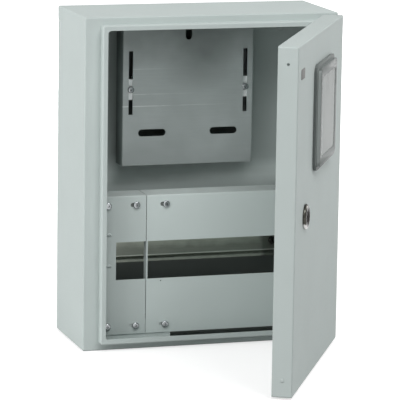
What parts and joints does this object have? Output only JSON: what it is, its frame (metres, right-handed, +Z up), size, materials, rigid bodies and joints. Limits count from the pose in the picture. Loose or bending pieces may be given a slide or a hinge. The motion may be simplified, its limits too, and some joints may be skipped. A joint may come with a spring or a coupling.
{
  "type": "meter and distribution enclosure",
  "caption": "Wall-mounted painted sheet-steel enclosure with a windowed, lockable hinged door, a slotted meter plate, split device covers and a top-hat rail.",
  "frame": {"origin": "centre of the four wall holes, on the outer face of the cabinet's back", "axes": "+Z up the wall, +Y into the wall, the door opening looks along -Y and the hinges are on the +X side"},
  "size_m": [0.3118, 0.4015, 0.395],
  "materials": {
    "painted_case": "light grey fine-textured powder coat",
    "painted_cover": "light grey fine-textured powder coat",
    "painted_bracket": "light grey powder coat",
    "zinc_hinge": "zinc plated",
    "zinc_plate": "zinc-plated sheet, dull",
    "zinc_rail": "zinc-plated sheet",
    "screw_zinc": "zinc plated",
    "clear_window": "clear plastic sheet",
    "grey_plastic": "moulded grey plastic",
    "lock_chrome": "bright chromed zinc casting",
    "lock_plug_chrome": "chromed",
    "zinc_lock": "zinc plated",
    "earth_steel": "brass stud, washer and nut",
    "smoked_frame": "smoke-grey translucent moulding"
  },
  "bodies": {
    "cabinet": {"cabinet_body": "painted_case", "hinge_upper_cabinet_leaf": "zinc_hinge", "hinge_lower_cabinet_leaf": "zinc_hinge", "hinge_upper_pin": "zinc_hinge", "hinge_lower_pin": "zinc_hinge", "meter_plate": "zinc_plate", "plate_bracket_left": "zinc_plate", "plate_bracket_right": "zinc_plate", "plate_screw_left": "screw_zinc", "plate_screw_right": "screw_zinc", "din_rail": "zinc_rail", "rail_bracket_left": "zinc_rail", "rail_bracket_right": "zinc_rail", "rail_screw_left": "screw_zinc", "rail_screw_right": "screw_zinc", "narrow_cover": "painted_cover", "wide_cover": "painted_cover", "cover_bracket_upper_left": "painted_bracket", "cover_bracket_upper_right": "painted_bracket", "cover_bracket_lower_left": "painted_bracket", "cover_bracket_lower_right": "painted_bracket", "cover_screw_1": "screw_zinc", "cover_screw_2": "screw_zinc", "cover_screw_3": "screw_zinc", "cover_screw_4": "screw_zinc", "cover_screw_5": "screw_zinc", "cover_screw_6": "screw_zinc", "cover_screw_7": "screw_zinc", "cover_screw_8": "screw_zinc", "earth_stud": "earth_steel", "earth_washer": "earth_steel", "earth_nut": "earth_steel", "knockout_left": "painted_case", "knockout_middle": "painted_case", "knockout_right": "painted_case"},
    "door_leaf": {"door_panel": "painted_case", "door_rim": "painted_case", "window_frame": "smoked_frame", "window_pane": "clear_window", "window_retainer": "grey_plastic", "lock_body": "lock_chrome", "lock_nut": "zinc_lock", "hinge_upper_door_leaf": "zinc_hinge", "hinge_lower_door_leaf": "zinc_hinge"},
    "lock": {"lock_plug": "lock_plug_chrome", "lock_cam": "zinc_lock", "lock_cam_screw": "zinc_lock"}
  },
  "joints": [
    {"name": "door_hinge", "type": "hinge", "parent": "cabinet", "child": "door_leaf", "pos_m": [0.1425, -0.1385, 0], "axis": [0, 0, 1], "range_deg": [-61, 49]},
    {"name": "lock_turn", "type": "hinge", "parent": "door_leaf", "child": "lock", "pos_m": [0.03887, -0.34917, -0.002], "axis": [0.8746, -0.4848, 0], "range_deg": [0, 90]}
  ]
}
